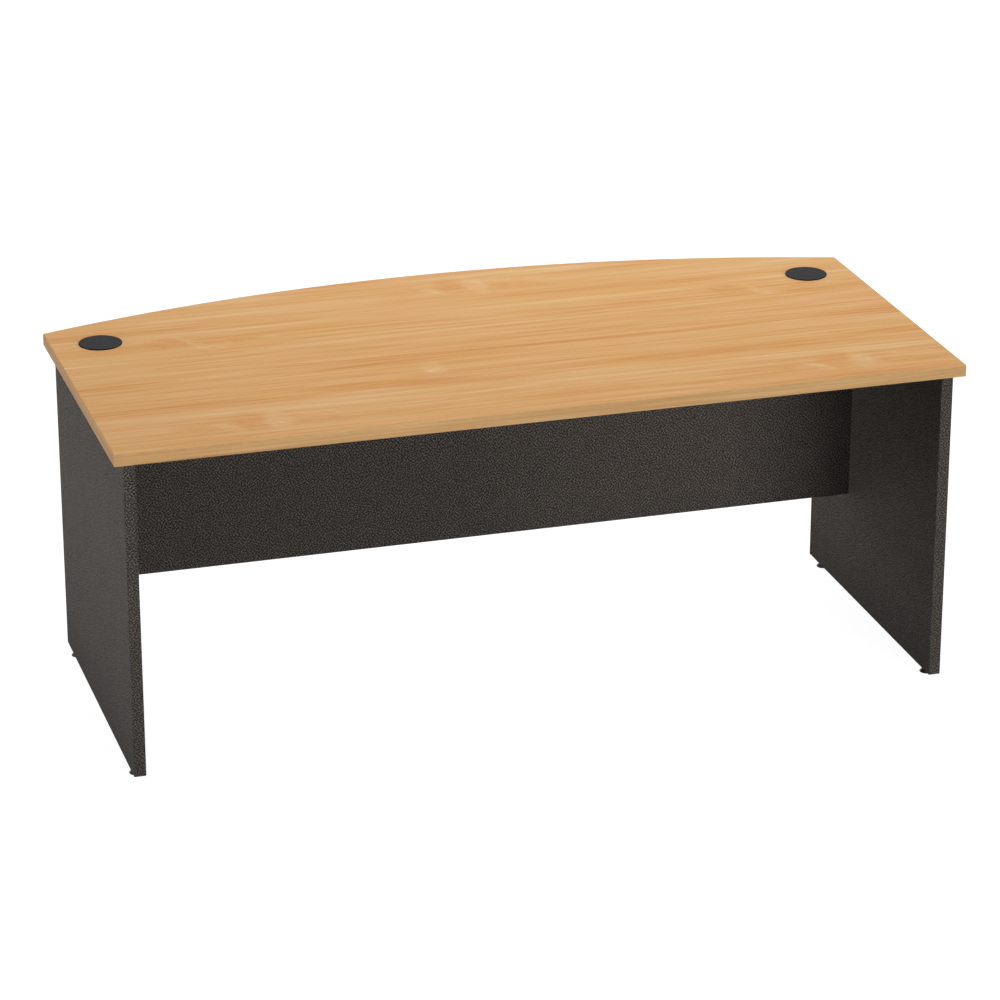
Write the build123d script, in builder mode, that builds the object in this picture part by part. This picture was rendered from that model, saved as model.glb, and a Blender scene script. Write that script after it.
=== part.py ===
from build123d import *

import os
from math import hypot

# Executive desk: a desktop with a bowed rear edge on two full-depth end panels, tied
# together by a modesty panel. Cam locks, cam bolts and dowels join the boards, and the desk
# stands on four screw feet. Sizes are in millimetres. X runs along the desk, +Y points away
# from the sitter and +Z is up. The origin is on the floor, at the centre of the desktop's
# outline.

# Desktop
desk_width = 1800.0
desk_height = 720.0  # floor to the desktop's upper face
side_depth = 750.0  # front edge to rear corner
bow_depth = 150.0  # how far the rear edge swells past the rear corners
desktop_thickness = 25.0
desktop_edging = 2.0
desktop_arris = 1.0
desktop_corner_extra = 0.5  # corner radius past the arris radius
glue_line = 0.1

# End panels
end_overhang = 20.0  # desktop's side past an end panel's outer face
end_front_setback = 20.0  # desktop's front edge to the end panel's front edge
end_rear_setback = 20.0  # end panel's rear edge to the desktop's rear corner
end_thickness = 25.0
end_edging = 1.0
end_arris = 0.6

# Modesty panel
modesty_setback = 508.0  # desktop's front edge to the panel's front face
modesty_height = 450.0
modesty_thickness = 18.0
modesty_edging = 1.0
modesty_arris = 0.6

# Cable grommets, in the rear corners of the desktop
grommet_side_inset = 105.0  # desktop's side to the grommet's centre
grommet_rear_inset = 95.0  # rear corner line to the grommet's centre
grommet_hole_radius = 40.0
grommet_hole_clearance = 0.3
flange_overlap = 6.0
flange_web = 1.1  # flange under the cap
flange_lip = 2.6  # width of the raised ring round the cap
flange_round_share = 0.58  # of the flange's height
cap_thickness = 1.3
cap_round_share = 0.4  # of the cap's thickness
cap_clearance = 0.25
sleeve_wall = 2.0
sleeve_short = 3.0  # how far the sleeve stops short of the desktop's underside
bore_step = 1.3  # ledge in the sleeve, below the cap's fingers
finger_depth = 8.0
finger_wall = 1.4
finger_end_gap = 1.0
finger_count = 4
finger_slot = 16.0

# Levelling feet
front_foot_inset = 45.0  # end panel's front edge to the foot's axis
rear_foot_inset = 52.0  # end panel's rear edge to the foot's axis
pad_radius = 14.0
pad_base_bevel = 0.6
pad_rim = 1.2
pad_top_wall = 3.2  # round the socket
socket_floor = 2.6
socket_lip = 1.4
bulb_radius = 4.6
bulb_height = 3.2
neck_radius = 2.8
swivel_gap = 0.2
collar_flats = 13.0
collar_height = 2.4
collar_gap = 1.0  # collar to the insert's flange, with the foot screwed home
stud_radius = 4.0
stud_thread_depth = 0.6
stud_pitch = 1.25
stud_lead_in = 1.0
stud_length = 32.0  # above the collar
stud_end_room = 3.0
thread_clearance = 0.05
insert_wall = 1.45
insert_length = 21.0
insert_flange_overlap = 3.0
insert_flange_height = 0.8
insert_groove_count = 4
insert_groove_depth = 0.4
insert_groove_width = 1.6

# Cam locks and cam bolts
cam_backset = 34.0  # panel edge to the cam's centre
cam_clearance = 0.1
cam_rim = 1.1
cam_core_radius = 1.9
cam_floor = 0.6
cam_pocket_gap = 0.4  # bolt's head to the cam
cam_slot_gap = 0.3  # bolt's neck to the cam
cam_channel_lead = 80.0  # degrees of the channel past the bolt
cam_channel_arc = 250.0
cam_drive_length = 8.0
cam_drive_width = 1.8
cam_drive_depth = 2.2
bolt_bore_radius = 4.0
bolt_shank_radius = 3.4
bolt_shank_gap = 0.6  # shank's end to the cam's rim
bolt_neck_radius = 2.3
bolt_head_radius = 3.6
bolt_head_thickness = 2.5
bolt_head_point_share = 0.4  # of the head's thickness
bolt_thread_radius = 3.0
bolt_thread_depth = 0.7
bolt_thread_pitch = 1.8
bolt_thread_length = 11.0
bolt_tip_room = 1.5
cover_overlap = 1.1  # past the cam's edge
cover_height = 1.4
cover_round = 0.8
cover_blade_clearance = 0.3
cover_blade_gap = 0.5  # blade's end to the bottom of the slot

# Dowels
dowel_radius = 4.0
dowel_reach = 14.5  # into each board
dowel_chamfer = 1.0
dowel_clearance = 0.06
dowel_end_room = 1.0
dowel_flute_count = 10
dowel_flute_radius = 0.35

# Places along a board, as shares of the stretch that carries the fittings
front_bay_cam_shares = (0.22, 0.78)
front_bay_dowel_shares = (0.5,)
rear_bay_cam_shares = (0.4,)
rear_bay_dowel_shares = (0.75,)
modesty_side_cam_shares = (0.14, 0.84)
modesty_side_dowel_shares = (0.32, 0.62)
modesty_top_cam_shares = (0.15, 0.5, 0.85)
modesty_top_dowel_shares = (0.33, 0.67)

overrun = 5.0  # how far a cutting shape runs past what it cuts

# Heights in a foot, from the floor up to the end panel
bulb_low_z = socket_floor + swivel_gap
bulb_high_z = bulb_low_z + bulb_height
socket_high_z = bulb_high_z + swivel_gap
pad_top_z = socket_high_z + socket_lip
collar_low_z = pad_top_z + swivel_gap
collar_high_z = collar_low_z + collar_height
insert_low_z = collar_high_z + collar_gap
panel_low_z = insert_low_z + insert_flange_height
stud_top_z = collar_high_z + stud_length
foot_room = stud_top_z + stud_end_room - panel_low_z

# Edges and faces of the boards
front_y = -(side_depth + bow_depth) / 2
corner_y = front_y + side_depth
peak_y = corner_y + bow_depth
half_width = desk_width / 2
underside_z = desk_height - desktop_thickness
bow_radius = (half_width**2 + bow_depth**2) / (2 * bow_depth)
bow_centre_y = peak_y - bow_radius
end_front_y = front_y + end_front_setback
end_rear_y = corner_y - end_rear_setback
end_depth = end_rear_y - end_front_y
end_height = underside_z - panel_low_z
end_inner_x = half_width - end_overhang - end_thickness
end_middle_x = end_inner_x + end_thickness / 2
modesty_front_y = front_y + modesty_setback
modesty_rear_y = modesty_front_y + modesty_thickness
modesty_middle_y = modesty_front_y + modesty_thickness / 2
modesty_low_z = underside_z - modesty_height
grommet_x = half_width - grommet_side_inset
grommet_y = corner_y - grommet_rear_inset

# A cam is as wide as it must be to turn round the bolt's head.
head_near = cam_core_radius + cam_pocket_gap + bolt_head_thickness
cam_pocket_radius = hypot(head_near, bolt_head_radius) + cam_pocket_gap
cam_pocket_half = bolt_head_radius + cam_pocket_gap
cam_slot_half = bolt_neck_radius + cam_slot_gap
cam_radius = cam_pocket_radius + cam_rim
cam_below_axis = cam_pocket_half + cam_floor

UP = Vector(0, 0, 1)
REAR = Vector(0, 1, 0)
SIDES = {"left": -1, "right": 1}

os.makedirs("parts", exist_ok=True)


def finish(part, name):
    """Labels a finished piece and writes it."""
    part.label = name
    export_step(part, f"parts/{name}.step")


def along(start, stop, shares):
    """Places at the given shares of the way from start to stop."""
    return [start + (stop - start) * share for share in shares]


# Where the fittings go. Each joint plane stands on the edge of the board that holds the
# cams, on the axis of a bolt or dowel. Its Z points into the other board and its X out of
# the face that the cams sit in.


def joint_planes(points, toward, face):
    return [Plane(origin=point, x_dir=face, z_dir=toward) for point in points]


def cam_planes(planes, axis_depth):
    """The cams' places on the face of their board, with X along the bolt."""
    return [
        Plane(
            origin=plane.origin - plane.z_dir * cam_backset + plane.x_dir * axis_depth,
            x_dir=plane.z_dir,
            z_dir=plane.x_dir,
        )
        for plane in planes
    ]


def seen_from_other_board(planes):
    return [Plane(origin=plane.origin, x_dir=plane.x_dir, z_dir=-plane.z_dir) for plane in planes]


class Fittings:
    """One row of cam locks, bolts and dowels that ties a board's edge to another board."""

    def __init__(self, cam_points, dowel_points, toward, face, board_thickness):
        self.bolts = joint_planes(cam_points, toward, face)
        self.dowels = joint_planes(dowel_points, toward, face)
        self.axis_depth = board_thickness / 2
        self.cams = cam_planes(self.bolts, self.axis_depth)


def end_points(side, front_shares, rear_shares):
    """Places along an end panel's top edge, before and behind the modesty panel."""
    places = along(end_front_y, modesty_front_y, front_shares)
    places += along(modesty_rear_y, end_rear_y, rear_shares)
    return [(side * end_middle_x, y, underside_z) for y in places]


def modesty_side_points(side, shares):
    heights = along(modesty_low_z, underside_z, shares)
    return [(side * end_inner_x, modesty_middle_y, z) for z in heights]


def modesty_top_points(shares):
    places = along(-end_inner_x, end_inner_x, shares)
    return [(x, modesty_middle_y, underside_z) for x in places]


end_fittings = {
    side: Fittings(
        end_points(side, front_bay_cam_shares, rear_bay_cam_shares),
        end_points(side, front_bay_dowel_shares, rear_bay_dowel_shares),
        UP,
        Vector(-side, 0, 0),
        end_thickness,
    )
    for side in SIDES.values()
}
modesty_side_fittings = {
    side: Fittings(
        modesty_side_points(side, modesty_side_cam_shares),
        modesty_side_points(side, modesty_side_dowel_shares),
        Vector(side, 0, 0),
        REAR,
        modesty_thickness,
    )
    for side in SIDES.values()
}
modesty_top_fittings = Fittings(
    modesty_top_points(modesty_top_cam_shares),
    modesty_top_points(modesty_top_dowel_shares),
    UP,
    REAR,
    modesty_thickness,
)


def drill_cam_board(fittings):
    """Cam pockets, bolt bores and dowel holes in the board that holds the cams."""
    cam_depth = fittings.axis_depth + cam_below_axis
    with Locations(*fittings.cams):
        Hole(cam_radius + cam_clearance, depth=cam_depth + cam_clearance)
    with Locations(*fittings.bolts):
        Hole(bolt_bore_radius, depth=cam_backset)
    with Locations(*fittings.dowels):
        Hole(dowel_radius + dowel_clearance, depth=dowel_reach + dowel_end_room)


def drill_other_board(fittings):
    """Bolt and dowel holes in the board that the cams pull against."""
    with Locations(*seen_from_other_board(fittings.bolts)):
        Hole(bolt_thread_radius + thread_clearance, depth=bolt_thread_length + bolt_tip_room)
    with Locations(*seen_from_other_board(fittings.dowels)):
        Hole(dowel_radius + dowel_clearance, depth=dowel_reach + dowel_end_room)


# Desktop. The board and its edging strips are cut from one blank with rounded arrises.

with BuildPart() as desktop_blank:
    with BuildSketch(Plane.XY.offset(underside_z)):
        with BuildLine():
            bow = ThreePointArc((-half_width, corner_y), (0, peak_y), (half_width, corner_y))
            Polyline(bow @ 1, (half_width, front_y), (-half_width, front_y), bow @ 0)
        make_face()
    extrude(amount=desktop_thickness)
    corner_edges = desktop_blank.edges().filter_by(Axis.Z)
    fillet(corner_edges, desktop_arris + desktop_corner_extra)
    rim_edges = desktop_blank.faces().sort_by(Axis.Z)[-1].outer_wire().edges()
    rim_edges += desktop_blank.faces().sort_by(Axis.Z)[0].outer_wire().edges()
    fillet(rim_edges, desktop_arris)


def bow_disc(inset, mode):
    """Sketches a disc whose rear edge runs along the bow, at that inset from it."""
    with Locations((0, bow_centre_y)):
        Circle(bow_radius - inset, mode=mode)


def from_front(width, inset):
    """Sketches a strip of that width, from the inset to the peak of the bow."""
    with Locations((0, front_y + inset)):
        Rectangle(width, side_depth + bow_depth, align=(Align.CENTER, Align.MIN))


def cut_from_blank():
    """Keeps what the blank has above and below the pending sketch."""
    extrude(amount=desktop_thickness + 2 * overrun, mode=Mode.INTERSECT)


below_desktop = Plane.XY.offset(underside_z - overrun)
core_inset = desktop_edging + glue_line

with BuildPart() as desktop_board:
    add(desktop_blank.part)
    with BuildSketch(below_desktop):
        from_front(desk_width - 2 * core_inset, core_inset)
        bow_disc(core_inset, Mode.INTERSECT)
    cut_from_blank()
    with Locations(*[(side * grommet_x, grommet_y, desk_height) for side in SIDES.values()]):
        Hole(grommet_hole_radius, depth=desktop_thickness + overrun)
    for side in SIDES.values():
        drill_other_board(end_fittings[side])
    drill_other_board(modesty_top_fittings)
finish(desktop_board.part, "desktop_board")

with BuildPart() as desktop_front_edging:
    add(desktop_blank.part)
    with BuildSketch(below_desktop):
        with Locations((0, front_y)):
            Rectangle(desk_width, desktop_edging, align=(Align.CENTER, Align.MIN))
    cut_from_blank()
finish(desktop_front_edging.part, "desktop_front_edging")

with BuildPart() as desktop_rear_edging:
    add(desktop_blank.part)
    with BuildSketch(below_desktop):
        from_front(desk_width - 2 * desktop_edging, desktop_edging)
        bow_disc(desktop_edging, Mode.SUBTRACT)
    cut_from_blank()
finish(desktop_rear_edging.part, "desktop_rear_edging")

for side_name, side in SIDES.items():
    with BuildPart() as desktop_side_edging:
        add(desktop_blank.part)
        with BuildSketch(below_desktop):
            with Locations((side * (half_width - desktop_edging / 2), front_y + desktop_edging)):
                Rectangle(
                    desktop_edging, side_depth + bow_depth, align=(Align.CENTER, Align.MIN)
                )
        cut_from_blank()
    finish(desktop_side_edging.part, f"desktop_{side_name}_edging")


# End panels. A panel and its edging strips are cut from one blank too.

foot_places = {
    f"{row}_{side_name}": (side * end_middle_x, y)
    for row, y in (
        ("front", end_front_y + front_foot_inset),
        ("rear", end_rear_y - rear_foot_inset),
    )
    for side_name, side in SIDES.items()
}
insert_radius = stud_radius + thread_clearance + insert_wall
end_core_inset = end_edging + glue_line

for side_name, side in SIDES.items():
    with BuildPart() as end_blank:
        with BuildSketch(Plane.XY.offset(panel_low_z)):
            with Locations((side * end_middle_x, end_front_y)):
                Rectangle(end_thickness, end_depth, align=(Align.CENTER, Align.MIN))
        extrude(amount=end_height)
        fillet(end_blank.edges().filter_by(Axis.Z), end_arris)

    # Seen from the side: depth from the front edge, then height from the lower edge.
    strips = {
        "panel": (end_core_inset, end_depth - end_core_inset, end_core_inset, end_height),
        "front_edging": (0, end_edging, 0, end_height),
        "rear_edging": (end_depth - end_edging, end_depth, 0, end_height),
        "bottom_edging": (end_edging, end_depth - end_edging, 0, end_edging),
    }
    for strip_name, (front, rear, low, high) in strips.items():
        with BuildPart() as end_piece:
            add(end_blank.part)
            with BuildSketch(Plane.XY.offset(panel_low_z + low)):
                with Locations((side * end_middle_x, end_front_y + front)):
                    Rectangle(end_thickness, rear - front, align=(Align.CENTER, Align.MIN))
            extrude(amount=high - low, mode=Mode.INTERSECT)
            if strip_name in ("panel", "bottom_edging"):
                feet_here = [foot_places[f"{row}_{side_name}"] for row in ("front", "rear")]
                with Locations(*[Plane(origin=(x, y, panel_low_z), z_dir=-UP) for x, y in feet_here]):
                    Hole(insert_radius + thread_clearance, depth=insert_length)
            if strip_name == "panel":
                with Locations(*[Plane(origin=(x, y, panel_low_z), z_dir=-UP) for x, y in feet_here]):
                    Hole(stud_radius + thread_clearance, depth=foot_room)
                drill_cam_board(end_fittings[side])
                drill_other_board(modesty_side_fittings[side])
        finish(end_piece.part, f"{side_name}_end_{strip_name}")


# Modesty panel and the edging under it

with BuildPart() as modesty_blank:
    with BuildSketch(Plane.YZ):
        with Locations((modesty_front_y, modesty_low_z)):
            Rectangle(modesty_thickness, modesty_height, align=(Align.MIN, Align.MIN))
    extrude(amount=end_inner_x, both=True)
    fillet(modesty_blank.edges().filter_by(Axis.X).group_by(Axis.Z)[0], modesty_arris)

for name, low, high in (
    ("modesty_panel", modesty_edging + glue_line, modesty_height),
    ("modesty_bottom_edging", 0, modesty_edging),
):
    with BuildPart() as modesty_piece:
        add(modesty_blank.part)
        with BuildSketch(Plane.XY.offset(modesty_low_z + low)):
            with Locations((0, modesty_middle_y)):
                Rectangle(2 * end_inner_x, modesty_thickness)
        extrude(amount=high - low, mode=Mode.INTERSECT)
        if name == "modesty_panel":
            for side in SIDES.values():
                drill_cam_board(modesty_side_fittings[side])
            drill_cam_board(modesty_top_fittings)
    finish(modesty_piece.part, name)


# Cable grommets: a flanged liner in the desktop's hole, and a cap with spring fingers

flange_radius = grommet_hole_radius + flange_overlap
flange_height = flange_web + cap_thickness
cap_radius = flange_radius - flange_lip
cap_seat_z = desk_height + flange_web
sleeve_radius = grommet_hole_radius - grommet_hole_clearance
sleeve_bore = sleeve_radius - sleeve_wall
sleeve_low_z = underside_z + sleeve_short
finger_radius = sleeve_bore - cap_clearance
finger_low_z = cap_seat_z - finger_depth
step_z = finger_low_z - finger_end_gap

for side_name, side in SIDES.items():
    grommet_plane = Plane(origin=(side * grommet_x, grommet_y, 0))

    with BuildPart() as liner:
        with BuildSketch(grommet_plane.offset(desk_height)):
            Circle(flange_radius)
        extrude(amount=flange_height)
        fillet(liner.edges().group_by(Axis.Z)[-1], flange_height * flange_round_share)
        with BuildSketch(grommet_plane.offset(sleeve_low_z)):
            Circle(sleeve_radius)
        extrude(amount=desk_height - sleeve_low_z)
        with BuildSketch(grommet_plane.offset(cap_seat_z)):
            Circle(cap_radius + cap_clearance)
        extrude(amount=cap_thickness + overrun, mode=Mode.SUBTRACT)
        with BuildSketch(grommet_plane.offset(step_z)):
            Circle(sleeve_bore)
        extrude(amount=cap_seat_z - step_z, mode=Mode.SUBTRACT)
        with BuildSketch(grommet_plane.offset(sleeve_low_z)):
            Circle(sleeve_bore - bore_step)
        extrude(amount=step_z - sleeve_low_z, mode=Mode.SUBTRACT)
    finish(liner.part, f"{side_name}_grommet_liner")

    with BuildPart() as cap:
        with BuildSketch(grommet_plane.offset(cap_seat_z)):
            Circle(cap_radius)
        extrude(amount=cap_thickness)
        fillet(cap.edges().group_by(Axis.Z)[-1], cap_thickness * cap_round_share)
        with BuildSketch(grommet_plane.offset(finger_low_z)):
            Circle(finger_radius)
            Circle(finger_radius - finger_wall, mode=Mode.SUBTRACT)
            with PolarLocations(finger_radius, finger_count):
                Rectangle(finger_slot + 2 * finger_wall, finger_slot, mode=Mode.SUBTRACT)
        extrude(amount=finger_depth)
    finish(cap.part, f"{side_name}_grommet_cap")


# Levelling feet: a pad that stays still on the floor, a stud that turns in it, and the
# threaded insert that the stud climbs in


def thread_points(low, high, root, crest, pitch):
    """Radius and height of each point up the side of a thread, drawn as ridges."""
    ridges = int((high - low) / pitch)
    points = []
    for ridge in range(ridges):
        start = low + ridge * pitch
        points += [(root, start), (crest, start + pitch / 2)]
    return points + [(root, low + ridges * pitch)]


stud_root_radius = stud_radius - stud_thread_depth
socket_radius = bulb_radius + swivel_gap
mouth_radius = neck_radius + swivel_gap

for place_name, (x, y) in foot_places.items():
    section = Plane(origin=(x, y, 0), x_dir=(1, 0, 0), z_dir=-REAR)
    foot_axis = Axis((x, y, 0), UP)

    with BuildPart() as pad:
        with BuildSketch(section):
            with BuildLine():
                Polyline(
                    (0, 0),
                    (pad_radius - pad_base_bevel, 0),
                    (pad_radius, pad_base_bevel),
                    (pad_radius, pad_base_bevel + pad_rim),
                    (socket_radius + pad_top_wall, pad_top_z),
                    (mouth_radius, pad_top_z),
                    (mouth_radius, socket_high_z),
                    (socket_radius, socket_high_z),
                    (socket_radius, socket_floor),
                    (0, socket_floor),
                    close=True,
                )
            make_face()
        revolve(axis=foot_axis)
    finish(pad.part, f"{place_name}_foot_pad")

    thread = thread_points(
        collar_high_z, stud_top_z - stud_lead_in, stud_root_radius, stud_radius, stud_pitch
    )
    with BuildPart() as stud:
        with BuildSketch(section):
            with BuildLine():
                Polyline(
                    (0, bulb_low_z),
                    (bulb_radius, bulb_low_z),
                    (bulb_radius, bulb_high_z),
                    (neck_radius, bulb_high_z),
                    (neck_radius, collar_high_z),
                    *thread,
                    (stud_root_radius - stud_lead_in / 2, stud_top_z),
                    (0, stud_top_z),
                    close=True,
                )
            make_face()
        revolve(axis=foot_axis)
        with BuildSketch(Plane(origin=(x, y, collar_low_z))):
            RegularPolygon(collar_flats / 2, side_count=6, major_radius=False)
        extrude(amount=collar_height)
    finish(stud.part, f"{place_name}_foot_stud")

    groove_spacing = insert_length / (insert_groove_count + 1)
    with BuildPart() as insert:
        with BuildSketch(Plane(origin=(x, y, insert_low_z))):
            Circle(insert_radius + insert_flange_overlap)
        extrude(amount=insert_flange_height)
        with BuildSketch(Plane(origin=(x, y, panel_low_z))):
            Circle(insert_radius)
        extrude(amount=insert_length)
        for groove in range(insert_groove_count):
            groove_z = panel_low_z + (groove + 1) * groove_spacing
            with BuildSketch(Plane(origin=(x, y, groove_z))):
                Circle(insert_radius + overrun)
                Circle(insert_radius - insert_groove_depth, mode=Mode.SUBTRACT)
            extrude(amount=insert_groove_width / 2, both=True, mode=Mode.SUBTRACT)
        with Locations(Plane(origin=(x, y, panel_low_z + insert_length))):
            Hole(stud_radius + thread_clearance, depth=insert_length + insert_flange_height)
    finish(insert.part, f"{place_name}_foot_insert")


# Cam locks, cam bolts, dowels and cover caps. Each is made once, then copied to its places.


def make_cam_lock(axis_depth):
    """A cam whose face is at Z 0 and whose bolt comes in along +X."""
    with BuildPart() as cam:
        with BuildSketch(Plane.XY):
            Circle(cam_radius)
        extrude(amount=-(axis_depth + cam_below_axis))
        with BuildSketch(Plane.XZ.rotated((0, 0, -cam_channel_lead))):
            with Locations((cam_core_radius, -axis_depth)):
                Rectangle(
                    cam_pocket_radius - cam_core_radius,
                    2 * cam_pocket_half,
                    align=(Align.MIN, Align.CENTER),
                )
                Rectangle(cam_radius, 2 * cam_slot_half, align=(Align.MIN, Align.CENTER))
        revolve(axis=Axis.Z, revolution_arc=cam_channel_arc, mode=Mode.SUBTRACT)
        with BuildSketch(Plane.XY):
            Rectangle(cam_drive_length, cam_drive_width)
            Rectangle(cam_drive_width, cam_drive_length)
        extrude(amount=-cam_drive_depth, mode=Mode.SUBTRACT)
    return cam.part


def make_cam_bolt():
    """A bolt along Z: its thread above Z 0, its head in the cam below."""
    head_near_z = head_near - cam_backset
    head_far_z = head_near_z - bolt_head_thickness
    shank_end_z = cam_radius - cam_backset + bolt_shank_gap
    thread = thread_points(
        0,
        bolt_thread_length - bolt_thread_pitch,
        bolt_thread_radius - bolt_thread_depth,
        bolt_thread_radius,
        bolt_thread_pitch,
    )
    with BuildPart() as bolt:
        with BuildSketch(Plane.XZ):
            with BuildLine():
                Polyline(
                    (0, head_far_z),
                    (bolt_neck_radius, head_far_z),
                    (bolt_head_radius, head_far_z + bolt_head_thickness * bolt_head_point_share),
                    (bolt_head_radius, head_near_z),
                    (bolt_neck_radius, head_near_z),
                    (bolt_neck_radius, shank_end_z),
                    (bolt_shank_radius, shank_end_z),
                    (bolt_shank_radius, 0),
                    *thread,
                    (0, bolt_thread_length),
                    close=True,
                )
            make_face()
        revolve(axis=Axis.Z)
    return bolt.part


def make_dowel():
    """A fluted dowel along Z, half of it each side of Z 0."""
    with BuildPart() as pin:
        with BuildSketch(Plane.XY.offset(-dowel_reach)):
            Circle(dowel_radius)
        extrude(amount=2 * dowel_reach)
        chamfer(pin.edges().filter_by(GeomType.CIRCLE), dowel_chamfer)
        with BuildSketch(Plane.XY.offset(-dowel_reach)):
            with PolarLocations(dowel_radius, dowel_flute_count):
                Circle(dowel_flute_radius)
        extrude(amount=2 * dowel_reach, mode=Mode.SUBTRACT)
    return pin.part


def make_cam_cover():
    """A press-in cover that sits on the board's face, at Z 0, with its cross in the cam."""
    blade_length = cam_drive_length - 2 * cover_blade_clearance
    blade_width = cam_drive_width - 2 * cover_blade_clearance
    with BuildPart() as cover:
        with BuildSketch(Plane.XY):
            Circle(cam_radius + cover_overlap)
        extrude(amount=cover_height)
        fillet(cover.edges().group_by(Axis.Z)[-1], cover_round)
        with BuildSketch(Plane.XY):
            Rectangle(blade_length, blade_width)
            Rectangle(blade_width, blade_length)
        extrude(amount=-(cam_drive_depth - cover_blade_gap))
    return cover.part


def finish_copies(piece, planes, name):
    """Writes one group of separate copies of a piece, one on each plane."""
    with BuildPart() as group:
        with Locations(*planes):
            add(piece)
    finish(group.part, name)


cam_bolt = make_cam_bolt()
dowel = make_dowel()
cam_cover = make_cam_cover()

for row_name, fittings in (
    ("left_end", end_fittings[-1]),
    ("right_end", end_fittings[1]),
    ("modesty_left", modesty_side_fittings[-1]),
    ("modesty_right", modesty_side_fittings[1]),
    ("modesty_top", modesty_top_fittings),
):
    finish_copies(make_cam_lock(fittings.axis_depth), fittings.cams, f"{row_name}_cam_locks")
    finish_copies(cam_bolt, fittings.bolts, f"{row_name}_cam_bolts")
    finish_copies(dowel, fittings.dowels, f"{row_name}_dowels")
    finish_copies(cam_cover, fittings.cams, f"{row_name}_cam_covers")
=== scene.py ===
import math

import bpy
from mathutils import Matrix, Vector

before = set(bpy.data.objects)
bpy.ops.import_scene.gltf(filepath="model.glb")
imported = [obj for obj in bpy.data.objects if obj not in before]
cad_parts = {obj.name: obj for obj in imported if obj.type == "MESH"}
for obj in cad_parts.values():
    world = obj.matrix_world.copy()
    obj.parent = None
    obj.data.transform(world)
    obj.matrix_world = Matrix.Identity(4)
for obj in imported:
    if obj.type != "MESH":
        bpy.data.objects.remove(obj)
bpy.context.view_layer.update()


# Names of the desk's own places
FEET = ("front_left", "front_right", "rear_left", "rear_right")
SIDES = ("left", "right")
BOARD_JOINTS = ("left_end", "right_end", "modesty_left", "modesty_right", "modesty_top")

# Beech decor, in metres and degrees. Each spot of figure, and each band that runs along the grain, is its
# place, its half length, its half width, its turn, and how much paler or darker than the grain it is. The
# spots of a figure are placed from the figure's own place. All of it comes again after each repeat.
BLOOM = (
    ((-0.005, -0.002), 0.027, 0.050, 0, 0.120),
    ((0.100, 0.013), 0.090, 0.009, -6, 0.070),
    ((0.085, -0.026), 0.062, 0.020, -10, -0.080),
    ((-0.064, 0.006), 0.036, 0.048, 0, -0.110),
    ((-0.106, -0.020), 0.036, 0.013, -42, 0.130),
    ((-0.165, -0.008), 0.050, 0.030, 0, -0.050),
)
RIDGE = (
    ((-0.050, 0.008), 0.050, 0.034, 0, -0.100),
    ((0.0, 0.0), 0.055, 0.013, -58, 0.090),
    ((0.034, -0.038), 0.032, 0.012, 0, 0.090),
    ((0.105, -0.012), 0.050, 0.024, 0, -0.060),
    ((0.165, -0.004), 0.022, 0.011, 0, 0.070),
)
KNOT = (((0.0, 0.0), 0.024, 0.036, 0, 0.145),)
FIGURES = (
    ((-0.541, -0.347), BLOOM),
    ((0.078, 0.347), BLOOM),
    ((-0.608, 0.150), RIDGE),
    ((-0.165, -0.150), KNOT),
)
BANDS = (
    ((-0.26, -0.070), 0.27, 0.032, 0, -0.175),
    ((0.28, -0.069), 0.28, 0.011, -1, -0.230),
    ((-0.82, -0.222), 0.38, 0.026, 0, -0.130),
    ((-0.25, -0.222), 0.28, 0.021, -7, -0.190),
    ((-0.60, 0.235), 0.42, 0.011, 0, -0.095),
    ((0.28, 0.251), 0.33, 0.012, -1, -0.130),
    ((-0.10, -0.010), 0.50, 0.011, 0, -0.080),
    ((-0.45, 0.210), 0.30, 0.008, 0, 0.140),
    ((0.17, 0.192), 0.19, 0.009, -1, 0.160),
    ((-0.35, 0.312), 0.32, 0.011, 2, 0.125),
    ((0.16, 0.408), 0.28, 0.017, -3, 0.160),
    ((-0.50, 0.390), 0.20, 0.015, 2, 0.125),
    ((-0.15, 0.070), 0.32, 0.008, 0, 0.115),
    ((-0.50, -0.292), 0.30, 0.013, -1, 0.125),
    ((0.13, -0.302), 0.30, 0.011, 1, 0.105),
    ((-0.50, -0.436), 0.40, 0.016, 0, -0.105),
)
DECOR_REPEAT = 1.2535

# A spot or band is gone, and is full, where the square of the distance from its middle, in its half sizes
# and with its ragged edge added, comes to this
STROKE_GONE = 1.9
STROKE_FULL = -0.2

# Beech grain, in metres: how far each kind of mark runs along the board and through it, and how wide it is
# on the board and on the strips. Then, as shares of the tone, how far the broad bands swing it, and how much
# darker the side strips are painted: painted shade for the desktop's less lit sides.
GRAIN_RUNS = {
    "band": (1.10, 0.05),
    "streak": (0.36, 0.03),
    "line": (0.18, 0.02),
    "hair": (0.05, 0.02),
    "rib": (0.40, 0.03),
}
BOARD_GRAIN = {"band": 0.060, "streak": 0.0120, "line": 0.0042, "hair": 0.00105, "rib": 0.0066}
STRIP_GRAIN = {"band": 0.016, "streak": 0.0050, "line": 0.0016, "hair": 0.0004, "rib": 0.00275}
BOARD_BAND_SWING = 0.22
STRIP_BAND_SWING = 0.52
SIDE_STRIP_PAINTED_SHADE = -0.22

# Patches of the beech textures, in metres along the grain, across it and through the board, how far the
# grain wanders sideways, and how many degrees the ripples of the figure are turned
GRAIN_WANDER = (0.9, 0.30, 0.30)
GRAIN_WANDER_WIDTH = 0.035
BAND_FRAY = (0.22, 0.008, 0.03)
FIGURE_FRAY = (0.050, 0.026, 0.05)
FIGURE_RIPPLES = (0.026, 0.010, 0.05)
FIGURE_RIPPLES_TURN = 25
BEECH_FLECKS = (0.0060, 0.0009, 0.004)
BEECH_BLUSH = (0.40, 0.008, 0.05)
BEECH_PRESSING = (0.0011, 0.0007, 0.001)

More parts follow.
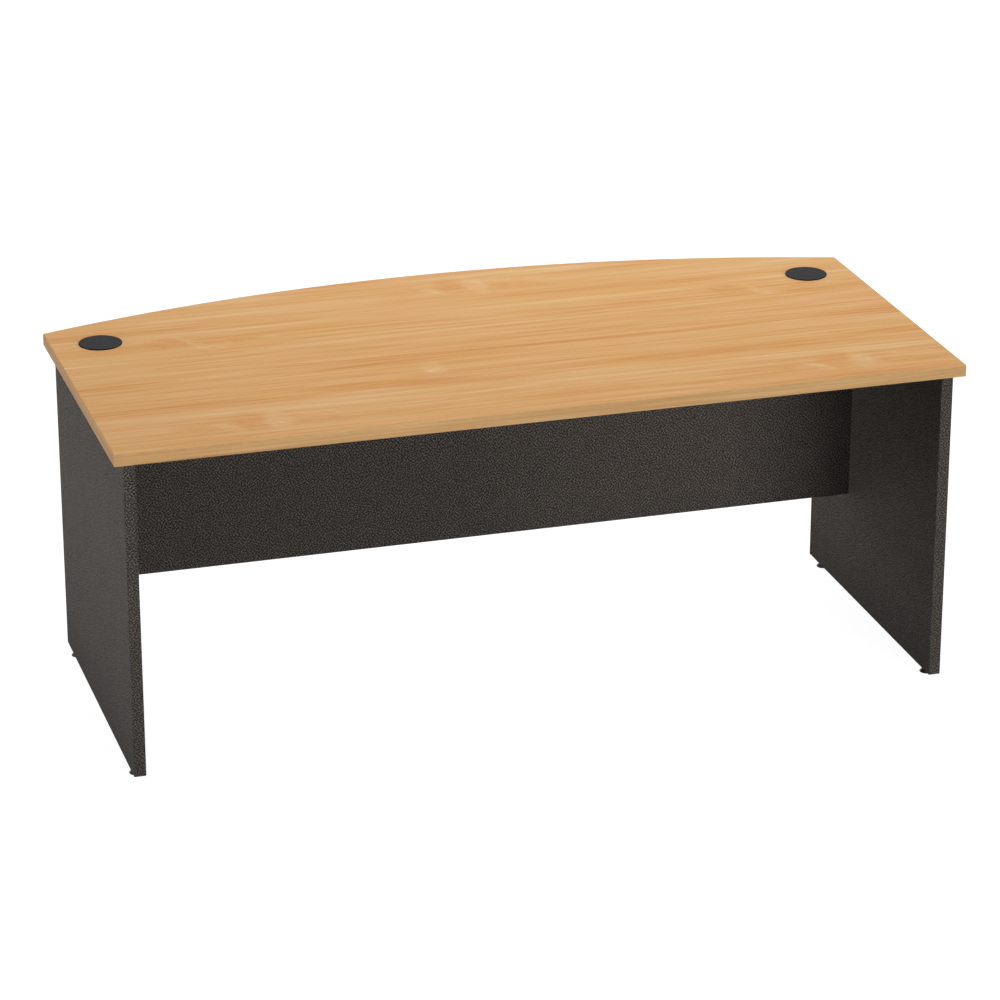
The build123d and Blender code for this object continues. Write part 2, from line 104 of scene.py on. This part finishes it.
# Colours as they look on a screen, from 0 to 255. A row of tones starts each one with its level.
BEECH_TONES = (
    (0.12, (200, 122, 56)),
    (0.36, (212, 152, 88)),
    (0.51, (218, 168, 109)),
    (0.66, (224, 181, 128)),
    (0.90, (234, 206, 160)),
)
BEECH_STRIP_TONES = (
    (0.10, (170, 124, 76)),
    (0.40, (191, 149, 99)),
    (0.60, (204, 164, 113)),
    (0.90, (224, 191, 142)),
)
BEECH_PINK = (222, 166, 122)
BEECH_YELLOW = (216, 171, 106)
BEECH_RUBBED = (232, 184, 128)
GRAPHITE_TONES = ((0.0, (36, 32, 30)), (0.40, (61, 56, 53)), (1.0, (118, 112, 105)))
GRAPHITE_RUBBED = (98, 93, 86)
# Colour of the painted shade near the floor on the graphite boards
GRAPHITE_PAINTED_SHADE = (34, 31, 29)
CHIP_DARK = (150, 112, 74)
CHIP_PALE = (214, 184, 140)
DOWEL_DARK = (190, 142, 92)
DOWEL_PALE = (226, 190, 142)

# Graphite decor, in metres and degrees: the size of its crystals, flecks, grit and clouds, how far off the
# tone around each fleck is read, and how the flecks are turned. Scatter is how much the crystals differ by
# chance, and a strip's shade is how much paler it is.
CRYSTAL = 0.0011
CRYSTAL_SCATTER = 0.06
END_PANEL_CRYSTAL = 0.0015
END_PANEL_SCATTER = 0.18
FLECK_SIZE = 0.0033
FLECK_SURROUND = 0.0020
FLECK_TURN = 45
GRAPHITE_GRIT = 0.0010
GRAPHITE_CLOUD = 0.05
GRAPHITE_STRIP_SHADE = -0.03

# Painted shade near the floor: the graphite boards' colour darkens from one height above the floor down to
# another. These heights, and the patches and wander of the shade's ragged upper edge, are in metres.
PAINTED_SHADE_TOP = 0.15
PAINTED_SHADE_DARKEST = -0.01
PAINTED_SHADE_SHARE = 0.45
SHADE_EDGE_PATCH = 0.05
SHADE_EDGE_WANDER = 0.03

# Patches of the other textures, in metres, or in metres along X, Y and Z
CHIP = 0.0022
CHIP_LAYERS = (0.0035, 0.0035, 0.0012)
BEECH_STRIP_PRESSING = 0.0012
BEECH_STRIP_SCUFF = 0.02
GRAPHITE_STRIP_SCUFF = 0.015
PLASTIC_SPARK = 0.0007
PLASTIC_SWIRL = 0.012
PLATING_PATCHES = (0.006, 0.006, 0.003)
DOWEL_PORE = 0.0006
DOWEL_RINGS = (0.004, 0.0012, 0.004)

# How many times as large as its pits the mottle of a metal is
MOTTLE_TO_PITS = 6

# How squarely a surface faces an axis, from 0 to 1, where it stops being a board's face and where it is
# surely one, and where a corner counts as fully rounded and as still flat
FACE_ENDS = 0.5
FACE_SURE = 0.9
CORNER_ROUND = 0.80
STRIP_FLAT = 0.995
PLASTIC_FLAT = 0.99

# How far each step of a noise's seed moves it along X, Y and Z, in its own patches
SEED_STRIDES = (3.7, 5.1, 7.9)

# Numbers of the sockets of a colour mix
MIX_SHARE = 0
MIX_FIRST = 6
MIX_SECOND = 7
MIX_RESULT = 2

# The photograph's camera: metres, millimetres, and degrees down from level and right of straight ahead
CAMERA_PLACE = (-2.217411, -7.408668, 3.435730)
CAMERA_LENS = 139.231
CAMERA_FILM = 36.0
CAMERA_NEAREST = 0.1
CAMERA_FARTHEST = 200.0
CAMERA_DIP = 21.749
CAMERA_TURN = 16.830

# Floor and room, in metres and as shares of white light
FLOOR_REACH = 30.0
FLOOR_DROP = 0.0004
FLOOR_REAL_SHADE = 0.16
FLOOR_SHADOW_SHADE = 0.22
FLOOR_OWN_LIGHT = 0.94
ROOM_LIGHT = 0.29


def seen_colour(red, green, blue):
    """A colour given as it looks on a screen, from 0 to 255, turned into what a shader works in."""

    def light(level):
        share = level / 255
        return share / 12.92 if share <= 0.04045 else ((share + 0.055) / 1.055) ** 2.4

    return (light(red), light(green), light(blue), 1.0)


def grey(share):
    """A plain grey, as a share of white light."""
    return (share, share, share, 1.0)


class Level:
    """A shader socket that sums can be written with. Each sum adds the Math node that works it out."""

    def __init__(self, shading, socket):
        self.shading = shading
        self.socket = socket

    def worked(self, operation, first, second):
        return self.shading.node("ShaderNodeMath", {"operation": operation}, {0: first, 1: second})

    def __add__(self, other):
        return self.worked("ADD", self, other)

    def __radd__(self, other):
        return self.worked("ADD", other, self)

    def __sub__(self, other):
        return self.worked("SUBTRACT", self, other)

    def __rsub__(self, other):
        return self.worked("SUBTRACT", other, self)

    def __mul__(self, other):
        return self.worked("MULTIPLY", self, other)

    def __rmul__(self, other):
        return self.worked("MULTIPLY", other, self)

    def __truediv__(self, other):
        return self.worked("DIVIDE", self, other)

    def __rtruediv__(self, other):
        return self.worked("DIVIDE", other, self)

    def higher(self, other):
        return self.worked("MAXIMUM", self, other)

    def swing(self, depth):
        """A level from 0 to 1 made to swing about 0, from half the depth below it to half above."""
        return (self - 0.5) * depth

    def wrapped(self, low, high):
        """The number brought between low and high by whole steps from one to the other."""
        return self.shading.node("ShaderNodeMath", {"operation": "WRAP"}, {0: self, 1: high, 2: low})

    def above(self, low, high):
        """0 below low, 1 above high, and an easy slope between. It falls where high is the smaller."""
        ends = {"Value": self, "From Min": low, "From Max": high}
        return self.shading.node("ShaderNodeMapRange", {"interpolation_type": "SMOOTHSTEP"}, ends)

    def outlet(self, name):
        """Another outlet of the node that this socket is on."""
        return Level(self.shading, self.socket.node.outputs[name])


class Shading:
    """The nodes of one material, or of the room, added one at a time."""

    def __init__(self, owner):
        owner.use_nodes = True
        self.nodes = owner.node_tree.nodes
        self.links = owner.node_tree.links
        self.nodes.clear()

    def node(self, kind, settings=None, sockets=None, outlet=0):
        """Adds a node: its settings first, then the value or the link of each socket."""
        made = self.nodes.new(kind)
        for setting, value in (settings or {}).items():
            if setting == "stops":
                stops = made.color_ramp.elements
                while len(stops) < len(value):
                    stops.new(1)
                for stop, (position, colour) in zip(stops, value):
                    stop.position = position
                    stop.color = colour
            else:
                setattr(made, setting, value)
        for socket, value in (sockets or {}).items():
            if isinstance(value, Level):
                self.links.new(value.socket, made.inputs[socket])
            else:
                made.inputs[socket].default_value = value
        return Level(self, made.outputs[outlet]) if made.outputs else None

    def split(self, vector):
        """The three numbers of a vector."""
        numbers = self.node("ShaderNodeSeparateXYZ", sockets={"Vector": vector})
        return [numbers.outlet(axis) for axis in "XYZ"]

    def vector(self, x, y, z):
        return self.node("ShaderNodeCombineXYZ", sockets={"X": x, "Y": y, "Z": z})

    def mixed(self, share, first, second):
        """The first colour, giving way to the second as share goes from 0 to 1."""
        settings = {"data_type": "RGBA", "clamp_factor": True}
        sockets = {MIX_SHARE: share, MIX_FIRST: first, MIX_SECOND: second}
        return self.node("ShaderNodeMix", settings, sockets, outlet=MIX_RESULT)

    def showing(self):
        """1 for a ray that shows the background: from the camera, off a gloss or through something clear."""
        ray = self.node("ShaderNodeLightPath")
        seen = ray.outlet("Is Camera Ray").higher(ray.outlet("Is Glossy Ray"))
        return seen.higher(ray.outlet("Is Transmission Ray"))


class Finish(Shading):
    """One procedural finish: its material, and the textures that it is made of."""

    def __init__(self, name):
        self.material = bpy.data.materials.new(name)
        super().__init__(self.material)
        self.place = self.node("ShaderNodeTexCoord", outlet="Object")

    def mapped(self, place, changes):
        """A place turned, or scaled and moved."""
        return self.node("ShaderNodeMapping", {"vector_type": "POINT"}, {"Vector": place, **changes})

    def noise(
        self,
        size,
        seed,
        detail=2,
        roughness=0.5,
        distortion=0,
        place=None,
        turn=0,
        shift=(0, 0, 0),
        flat=False,
    ):
        """Soft noise in patches of size metres each way, turned by degrees about Z and shifted by metres."""
        place = place or self.place
        if turn:
            place = self.mapped(place, {"Rotation": (0, 0, math.radians(turn))})
        start = []
        for stride, move, length in zip(SEED_STRIDES, shift, size):
            start.append(seed * stride + move / length)
        lie = self.mapped(place, {"Location": start, "Scale": [1 / length for length in size]})
        settings = {"noise_dimensions": "2D" if flat else "3D"}
        grain = {"Detail": detail, "Roughness": roughness, "Distortion": distortion}
        return self.node("ShaderNodeTexNoise", settings, {"Vector": lie, "Scale": 1.0, **grain})

    def even_noise(self, size, seed, **rest):
        """Soft noise whose patches are the same size every way."""
        return self.noise((size, size, size), seed, **rest)

    def ramp(self, level, tones):
        """The colour that a level from 0 to 1 has on a row of tones."""
        stops = [(position, seen_colour(*colour)) for position, colour in tones]
        return self.node("ShaderNodeValToRGB", {"stops": stops}, {"Fac": level})

    def square_on(self):
        """How squarely the surface faces each of the three axes, from 0 to 1."""
        facing = self.node("ShaderNodeTexCoord", outlet="Normal")
        return self.split(self.node("ShaderNodeVectorMath", {"operation": "ABSOLUTE"}, {0: facing}))

    def on_face(self, axis):
        """1 on the faces square to an axis, and 0 on cut edges and in holes."""
        return self.square_on()["XYZ".index(axis)].above(FACE_ENDS, FACE_SURE)

    def rounded(self, flat):
        """1 on rounded corners, falling to 0 where the surface is flat."""
        x, y, z = self.square_on()
        return x.higher(y).higher(z).above(flat, CORNER_ROUND)

    def relief(self, height, depth):
        """The surface's own direction, roughened by a height of up to depth metres."""
        return self.node("ShaderNodeBump", sockets={"Height": height, "Distance": depth, "Strength": 1.0})

    def done(self, varied, plain):
        """Closes the finish with one shader. The plain values are the same all over the surface."""
        shader = self.node("ShaderNodeBsdfPrincipled", sockets={**plain, **varied})
        self.node("ShaderNodeOutputMaterial", sockets={"Surface": shader})
        return self.material


def raw_chipboard(finish):
    """The colour and the height of raw chipboard, for cut edges and drilled holes."""
    cells = {"Vector": finish.place, "Scale": 1 / CHIP}
    grains = finish.node("ShaderNodeTexVoronoi", sockets=cells, outlet="Color")
    chips = finish.node("ShaderNodeSeparateColor", sockets={"Color": grains})
    coarse = finish.noise(CHIP_LAYERS, seed=2, detail=3)
    pale = (chips * 0.5 + coarse * 0.5).above(0.25, 0.75)
    return finish.mixed(pale, seen_colour(*CHIP_DARK), seen_colour(*CHIP_PALE)), coarse


def beech_grain(finish, place, widths, band_swing):
    """Straight beech grain along the first number of place. It also gives back where it lies, and its hairs.

    The grain is a level around 0.5, which a row of tones turns into colour.
    """
    wander = finish.noise(GRAIN_WANDER, seed=9, detail=1, place=place).swing(GRAIN_WANDER_WIDTH)
    along, across, through = finish.split(place)
    lie = finish.vector(along, across + wander, through)

    def marks(kind, **rest):
        run, reach = GRAIN_RUNS[kind]
        return finish.noise((run, widths[kind], reach), place=lie, **rest)

    bands = marks("band", seed=1, detail=1)
    streaks = marks("streak", seed=2, detail=2)
    lines = marks("line", seed=3, detail=3, roughness=0.6)
    hairs = marks("hair", seed=4, detail=1)
    ribs = marks("rib", seed=5, detail=1)
    soft_grain = bands.swing(band_swing) + streaks.swing(0.44) + lines.swing(0.44) + hairs.swing(0.14)
    sharp_grain = ribs.above(0.58, 0.72) * 0.13 - ribs.above(0.40, 0.28) * 0.11
    return 0.5 + soft_grain + sharp_grain, lie, hairs


def stroke(x, y, shape, ragged):
    """1 in the middle of a spot or band of the decor, falling to 0 past its ragged edge."""
    (middle_x, middle_y), half_length, half_width, turn = shape
    lengthwise = math.cos(math.radians(turn))
    slant = math.sin(math.radians(turn))
    off_x = (x - middle_x).wrapped(-DECOR_REPEAT / 2, DECOR_REPEAT / 2)
    off_y = y - middle_y
    along = (off_x * lengthwise + off_y * slant) / half_length
    across = (off_y * lengthwise - off_x * slant) / half_width
    return (along * along + across * across + ragged).above(STROKE_GONE, STROKE_FULL)


def beech_bands(finish, lie):
    """How much paler the decor's bands make the grain."""
    x, y = finish.split(lie)[:2]
    frayed = finish.noise(BAND_FRAY, seed=10, detail=2, roughness=0.6, place=lie).swing(1.8)
    paler = 0.0
    for *shape, tone in BANDS:
        paler = stroke(x, y, shape, frayed) * tone + paler
    return paler


def beech_figure(finish):
    """How much paler the decor's figure is than the grain, and how far it hides the grain."""
    x, y = finish.split(finish.place)[:2]
    ragged = finish.noise(FIGURE_FRAY, seed=6).swing(1.1)
    paler = 0.0
    cover = 0.0
    for (figure_x, figure_y), spots in FIGURES:
        for (spot_x, spot_y), *size, turn, tone in spots:
            shape = ((figure_x + spot_x, figure_y + spot_y), *size, turn)
            spot = stroke(x, y, shape, ragged)
            paler = spot * tone + paler
            cover = spot.higher(cover)
    return paler, cover


def beech_laminate():
    """Beech decor on the desktop's two faces, and chipboard where the board is cut or drilled."""
    finish = Finish("beech_laminate")
    grain, lie, hairs = beech_grain(finish, finish.place, BOARD_GRAIN, BOARD_BAND_SWING)
    paler, cover = beech_figure(finish)
    twisted = {"roughness": 0.6, "distortion": 0.6, "turn": FIGURE_RIPPLES_TURN}
    ripples = finish.noise(FIGURE_RIPPLES, seed=7, **twisted)
    flecks = finish.noise(BEECH_FLECKS, seed=8, detail=1, place=lie).above(0.60, 0.72)
    banded = (grain - 0.5 + beech_bands(finish, lie)) * (1 - cover * 0.65)
    mottle = paler * (ripples * 1.2 + 0.4) + cover * ripples.swing(0.50)
    colour = finish.ramp(0.5 + banded + mottle - flecks * 0.13, BEECH_TONES)
    blush = finish.noise(BEECH_BLUSH, seed=11, place=lie)
    colour = finish.mixed(blush.above(0.50, 0.74) * 0.40, colour, seen_colour(*BEECH_PINK))
    colour = finish.mixed(blush.above(0.50, 0.28) * 0.40, colour, seen_colour(*BEECH_YELLOW))
    chips, coarse = raw_chipboard(finish)
    decor = finish.on_face("Z")
    pressed = finish.noise(BEECH_PRESSING, seed=12)
    height = decor * (hairs * 0.5 + pressed * 0.4 - flecks * 0.5) + (1 - decor) * coarse * 8
    return finish.done(
        {
            "Base Color": finish.mixed(decor, chips, colour),
            "Roughness": 0.52 + pressed.swing(0.16) + flecks * 0.06 + (1 - decor) * 0.40,
            "Normal": finish.relief(height, depth=0.00006),
        },
        {"Specular IOR Level": 0.08},
    )


def beech_edging(name, run, shade=0.0):
    """Beech edging strip, a little greyer than the decor, whose rounded edges are rubbed paler."""
    finish = Finish(name)
    x, y, z = finish.split(finish.place)
    place = finish.vector(x, z, y) if run == "X" else finish.vector(y, z, x)
    grain, lie, hairs = beech_grain(finish, place, STRIP_GRAIN, STRIP_BAND_SWING)
    # A negative shade darkens the strip; on the side strips it is painted shade
    colour = finish.ramp(grain + shade, BEECH_STRIP_TONES)
    rubbed = finish.rounded(STRIP_FLAT)
    scuffs = finish.even_noise(BEECH_STRIP_SCUFF, seed=13, detail=3)
    pressed = finish.even_noise(BEECH_STRIP_PRESSING, seed=14)
    return finish.done(
        {
            "Base Color": finish.mixed(rubbed * (scuffs * 0.7 + 0.15), colour, seen_colour(*BEECH_RUBBED)),
            "Roughness": 0.46 + pressed.swing(0.16) - rubbed * 0.08,
            "Normal": finish.relief(hairs * 0.5 + pressed * 0.5, depth=0.00005),
        },
        {"Specular IOR Level": 0.05},
    )


def graphite_speckle(finish, plane, crystal=CRYSTAL, scatter=CRYSTAL_SCATTER, shade=0.0):
    """Graphite decor in a face's own plane: its colour, and the height of its crystals and grit.

    Light and dark crystals gather in flecks. Each fleck is set against the tone around it, so that they lie
    evenly over the board, with no dark or light patches.
    """
    along = dict(zip("XYZ", finish.split(finish.place)))
    face = finish.vector(along[plane[0]], along[plane[1]], 0.0)
    cells = {"Vector": face, "Scale": 1 / crystal}
    crystals = finish.node("ShaderNodeTexVoronoi", {"voronoi_dimensions": "2D"}, cells)
    middles = crystals.outlet("Position")
    chance = finish.node("ShaderNodeSeparateColor", sockets={"Color": crystals.outlet("Color")})

    def tone(shift_x, shift_y):
        lie = {"place": middles, "turn": FLECK_TURN, "shift": (shift_x, shift_y, 0), "flat": True}
        return finish.even_noise(FLECK_SIZE, seed=1, detail=0, distortion=0.5, **lie)

    around = (
        tone(FLECK_SURROUND, FLECK_SURROUND)
        + tone(FLECK_SURROUND, -FLECK_SURROUND)
        + tone(-FLECK_SURROUND, FLECK_SURROUND)
        + tone(-FLECK_SURROUND, -FLECK_SURROUND)
    )
    grit = finish.even_noise(GRAPHITE_GRIT, seed=2, detail=2, roughness=0.6)
    clouds = finish.even_noise(GRAPHITE_CLOUD, seed=3)
    flecks = (tone(0, 0) - around / 4 + chance.swing(scatter)).above(-0.24, 0.28)
    uneven = chance.swing(scatter * 1.3) + grit.swing(0.25) + clouds.swing(0.06)
    colour = finish.ramp(flecks * 0.84 + uneven + (shade - 0.02), GRAPHITE_TONES)
    return colour, flecks * 0.8 + grit * 0.4, grit


def graphite_laminate(name, face_axis, plane, crystal=CRYSTAL, scatter=CRYSTAL_SCATTER):
    """Graphite decor on a panel's two faces, with painted shade near the floor, and chipboard where cut or
    drilled.
    """
    finish = Finish(name)
    colour, speckle, grit = graphite_speckle(finish, plane, crystal, scatter)
    # Painted shade: the colour darkens towards the floor, below a ragged upper edge
    above_floor = finish.split(finish.place)[2]
    shade_height = above_floor + finish.even_noise(SHADE_EDGE_PATCH, seed=5).swing(SHADE_EDGE_WANDER)
    painted_floor_shade = shade_height.above(PAINTED_SHADE_TOP, PAINTED_SHADE_DARKEST) * PAINTED_SHADE_SHARE
    colour = finish.mixed(painted_floor_shade, colour, seen_colour(*GRAPHITE_PAINTED_SHADE))
    chips, coarse = raw_chipboard(finish)
    decor = finish.on_face(face_axis)
    return finish.done(
        {
            "Base Color": finish.mixed(decor, chips, colour),
            "Roughness": 0.62 + grit.swing(0.20) + (1 - decor) * 0.35,
            "Normal": finish.relief(decor * speckle + (1 - decor) * coarse * 4, depth=0.00010),
        },
        {"Specular IOR Level": 0.03},
    )


def graphite_edging(name, plane):
    """Graphite edging strip with the panels' flecks, whose rounded edges are rubbed paler."""
    finish = Finish(name)
    colour, speckle, grit = graphite_speckle(finish, plane, shade=GRAPHITE_STRIP_SHADE)
    rubbed = finish.rounded(STRIP_FLAT)
    scuffs = finish.even_noise(GRAPHITE_STRIP_SCUFF, seed=4, detail=3)
    return finish.done(
        {
            "Base Color": finish.mixed(rubbed * (scuffs * 0.7 + 0.1), colour, seen_colour(*GRAPHITE_RUBBED)),
            "Roughness": 0.56 + grit.swing(0.20) - rubbed * 0.06,
            "Normal": finish.relief(speckle, depth=0.00009),
        },
        {"Specular IOR Level": 0.08},
    )


def moulded_plastic(name, dark, light, edge_wear_and_highlight, roughness, gloss=0.0):
    """Spark-eroded, faintly swirled moulded plastic, rubbed paler on its corners, which on the cap are a
    painted highlight.
    """
    finish = Finish(name)
    spark = finish.even_noise(PLASTIC_SPARK, seed=1, detail=3, roughness=0.6)
    swirl = finish.even_noise(PLASTIC_SWIRL, seed=2)
    # The paler corners are rubbed wear, and on the grommet cap a painted highlight
    rubbed = finish.rounded(PLASTIC_FLAT) * (swirl * 1.2 + 0.2)
    pale = (spark * 0.6 + swirl * 0.4).above(0.30, 0.70)
    colour = finish.mixed(pale, seen_colour(*dark), seen_colour(*light))
    varied = {
        "Base Color": finish.mixed(rubbed, colour, seen_colour(*edge_wear_and_highlight)),
        "Roughness": roughness + spark.swing(0.20) - rubbed * 0.08,
        "Normal": finish.relief(spark, depth=0.00006),
    }
    plain = {"Specular IOR Level": 0.06}
    if gloss:
        varied["Coat Weight"] = rubbed * gloss
        plain["Coat Roughness"] = 0.22
    return finish.done(varied, plain)


def worked_metal(name, dark, light, pit, depth, roughness, tint=None):
    """Plated or cast metal: a mottled skin with fine pits, and a tint in patches where it is plated."""
    finish = Finish(name)
    mottle = finish.even_noise(pit * MOTTLE_TO_PITS, seed=1, detail=3)
    pits = finish.even_noise(pit, seed=2)
    pale = (mottle * 0.7 + pits * 0.3).above(0.30, 0.70)
    colour = finish.mixed(pale, seen_colour(*dark), seen_colour(*light))
    if tint:
        patches = finish.noise(PLATING_PATCHES, seed=3, detail=1).above(0.5, 0.8)
        colour = finish.mixed(patches * 0.5, colour, seen_colour(*tint))
    return finish.done(
        {
            "Base Color": colour,
            "Metallic": 0.92 + mottle.swing(0.12),
            "Roughness": roughness + pits.swing(0.22),
            "Normal": finish.relief(pits, depth),
        },
        {"Specular IOR Level": 0.5},
    )


def dowel_wood():
    """Turned beech dowel: fine pores, and the growth rings of the rod it was cut from."""
    finish = Finish("dowel_wood")
    pores = finish.even_noise(DOWEL_PORE, seed=1)
    rings = finish.noise(DOWEL_RINGS, seed=2)
    pale = (pores * 0.4 + rings * 0.6).above(0.3, 0.7)
    return finish.done(
        {
            "Base Color": finish.mixed(pale, seen_colour(*DOWEL_DARK), seen_colour(*DOWEL_PALE)),
            "Roughness": 0.66 + pores.swing(0.2),
            "Normal": finish.relief(rings, depth=0.00010),
        },
        {"Specular IOR Level": 0.3},
    )


def clad(finish, *nodes):
    """Gives CAD pieces their finish."""
    for node in nodes:
        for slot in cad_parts[node].material_slots:
            slot.material = finish


def each(pattern, places):
    """The names of the same piece in several places."""
    return [pattern.format(place) for place in places]


def clad_boards():
    """The boards and their edging strips."""
    clad(beech_laminate(), "desktop_board")
    clad(beech_edging("beech_edging_long", run="X"), "desktop_front_edging", "desktop_rear_edging")
    # The side strips are a darker copy of the same edging: painted shade for the less lit sides
    side_strip_painted_shade = beech_edging("beech_edging_side_painted_shade", run="Y", shade=SIDE_STRIP_PAINTED_SHADE)
    clad(side_strip_painted_shade, *each("desktop_{}_edging", SIDES))
    end_panel = graphite_laminate("graphite_end_panel", "X", "YZ", END_PANEL_CRYSTAL, END_PANEL_SCATTER)
    clad(end_panel, *each("{}_end_panel", SIDES))
    clad(graphite_laminate("graphite_modesty_panel", "Y", "XZ"), "modesty_panel")
    upright_strips = each("{}_end_front_edging", SIDES) + each("{}_end_rear_edging", SIDES)
    clad(graphite_edging("graphite_edging_upright", "XZ"), *upright_strips)
    lower_strips = each("{}_end_bottom_edging", SIDES) + ["modesty_bottom_edging"]
    clad(graphite_edging("graphite_edging_bottom", "XY"), *lower_strips)


def clad_plastics():
    """The grommets, the feet's pads and the covers over the cam locks."""
    # The cap's pale corner colour is a painted highlight on its rounded edge
    cap = moulded_plastic(
        "grommet_cap_plastic",
        dark=(37, 37, 37),
        light=(50, 50, 51),
        edge_wear_and_highlight=(104, 106, 110),
        roughness=0.62,
        gloss=1.0,
    )
    clad(cap, *each("{}_grommet_cap", SIDES))
    liner = moulded_plastic(
        "grommet_liner_plastic",
        dark=(3, 6, 11),
        light=(9, 13, 20),
        edge_wear_and_highlight=(14, 18, 26),
        roughness=0.62,
    )
    clad(liner, *each("{}_grommet_liner", SIDES))
    pad = moulded_plastic(
        "foot_plastic",
        dark=(14, 14, 15),
        light=(30, 30, 31),
        edge_wear_and_highlight=(52, 52, 54),
        roughness=0.45,
        gloss=0.6,
    )
    clad(pad, *each("{}_foot_pad", FEET))
    cover = moulded_plastic(
        "cover_plastic",
        dark=(44, 42, 40),
        light=(60, 57, 54),
        edge_wear_and_highlight=(84, 81, 76),
        roughness=0.55,
        gloss=0.6,
    )
    clad(cover, *each("{}_cam_covers", BOARD_JOINTS))


def clad_fittings():
    """The feet's screws, and the bolts, locks and dowels between the boards."""
    plated = worked_metal(
        "zinc_plated_steel",
        dark=(168, 168, 164),
        light=(206, 206, 204),
        pit=0.0009,
        depth=0.00002,
        roughness=0.30,
        tint=(196, 190, 160),
    )
    screws = each("{}_foot_stud", FEET) + each("{}_foot_insert", FEET)
    clad(plated, *screws, *each("{}_cam_bolts", BOARD_JOINTS))
    cast = worked_metal(
        "cast_zinc",
        dark=(138, 138, 141),
        light=(178, 178, 180),
        pit=0.0006,
        depth=0.00004,
        roughness=0.46,
    )
    clad(cast, *each("{}_cam_locks", BOARD_JOINTS))
    clad(dowel_wood(), *each("{}_dowels", BOARD_JOINTS))


def place_in_scene(name, data):
    """A new object in the scene, made of its data."""
    placed = bpy.data.objects.new(name, data)
    bpy.context.scene.collection.objects.link(placed)
    return placed


def stand_camera():
    """The camera, where the photograph was taken from."""
    data = bpy.data.cameras.new("camera")
    data.sensor_width = CAMERA_FILM
    data.lens = CAMERA_LENS
    data.clip_start = CAMERA_NEAREST
    data.clip_end = CAMERA_FARTHEST
    camera = place_in_scene("camera", data)
    camera.location = CAMERA_PLACE
    camera.rotation_euler = (math.radians(90 - CAMERA_DIP), 0.0, math.radians(-CAMERA_TURN))
    bpy.context.scene.camera = camera


def lay_floor():
    """A plain pale floor that shows as white from above, keeps a faint shadow, and is clear from below."""
    mesh = bpy.data.meshes.new("floor")
    corners = [(x * FLOOR_REACH, y * FLOOR_REACH, 0.0) for x, y in ((-1, -1), (1, -1), (1, 1), (-1, 1))]
    mesh.from_pydata(corners, [], [(0, 1, 2, 3)])
    floor = place_in_scene("floor", mesh)
    floor.location.z = -FLOOR_DROP
    material = bpy.data.materials.new("floor")
    shading = Shading(material)
    real = shading.node("ShaderNodeBsdfDiffuse", sockets={"Color": grey(FLOOR_REAL_SHADE)})
    shadowed = shading.node("ShaderNodeBsdfDiffuse", sockets={"Color": grey(FLOOR_SHADOW_SHADE)})
    white = shading.node("ShaderNodeEmission", sockets={"Color": grey(FLOOR_OWN_LIGHT), "Strength": 1.0})
    shown = shading.node("ShaderNodeAddShader", sockets={0: shadowed, 1: white})
    upper = shading.node("ShaderNodeMixShader", sockets={0: shading.showing(), 1: real, 2: shown})
    clear = shading.node("ShaderNodeBsdfTransparent")
    underside = shading.node("ShaderNodeNewGeometry", outlet="Backfacing")
    sheet = shading.node("ShaderNodeMixShader", sockets={0: underside, 1: upper, 2: clear})
    shading.node("ShaderNodeOutputMaterial", sockets={"Surface": sheet})
    mesh.materials.append(material)


def light_room():
    """An even pale room, seen as pure white behind the desk."""
    world = bpy.data.worlds.new("room")
    bpy.context.scene.world = world
    shading = Shading(world)
    soft = shading.node("ShaderNodeBackground", sockets={"Color": grey(1.0), "Strength": ROOM_LIGHT})
    white = shading.node("ShaderNodeBackground", sockets={"Color": grey(1.0), "Strength": 1.0})
    room = shading.node("ShaderNodeMixShader", sockets={0: shading.showing(), 1: soft, 2: white})
    shading.node("ShaderNodeOutputWorld", sockets={"Surface": room})


def hang_lamp(name, place, aim, size, power, mirrored=True, spread=180):
    """A soft lamp of a given width and height that faces a point. Gloss shows it only if it is mirrored."""
    data = bpy.data.lights.new(name, "AREA")
    data.shape = "RECTANGLE"
    data.size, data.size_y = size
    data.energy = power
    data.spread = math.radians(spread)
    lamp = place_in_scene(name, data)
    lamp.visible_glossy = mirrored
    lamp.location = place
    lamp.rotation_euler = (Vector(aim) - Vector(place)).to_track_quat("-Z", "Y").to_euler()


def hang_lamps():
    """The lamps, in metres, watts and degrees. The left one has a narrow beam, aimed above the floor."""
    hang_lamp("overhead_lamp", (0.3, 0.85, 3.2), aim=(0.1, 0.1, 0.7), size=(2.6, 2.0), power=42)
    hang_lamp("front_right_lamp", (2.7, -6.7, 2.0), aim=(0.1, 0.0, 0.4), size=(3.0, 2.0), power=314)
    hang_lamp("left_lamp", (-6.2, -2.6, 1.3), aim=(-0.88, 0.0, 0.5), size=(2.0, 0.3), power=2.9, spread=14)
    hang_lamp("rear_lamp", (0.2, 6.4, 1.0), aim=(0.0, 0.0, 0.45), size=(4.0, 1.4), power=165, mirrored=False)
    hang_lamp("right_lamp", (5.6, 0.6, 2.0), aim=(0.9, 0.0, 0.4), size=(3.0, 1.8), power=60)


clad_boards()
clad_plastics()
clad_fittings()
stand_camera()
lay_floor()
light_room()
hang_lamps()
bpy.context.scene.view_settings.view_transform = "Standard"
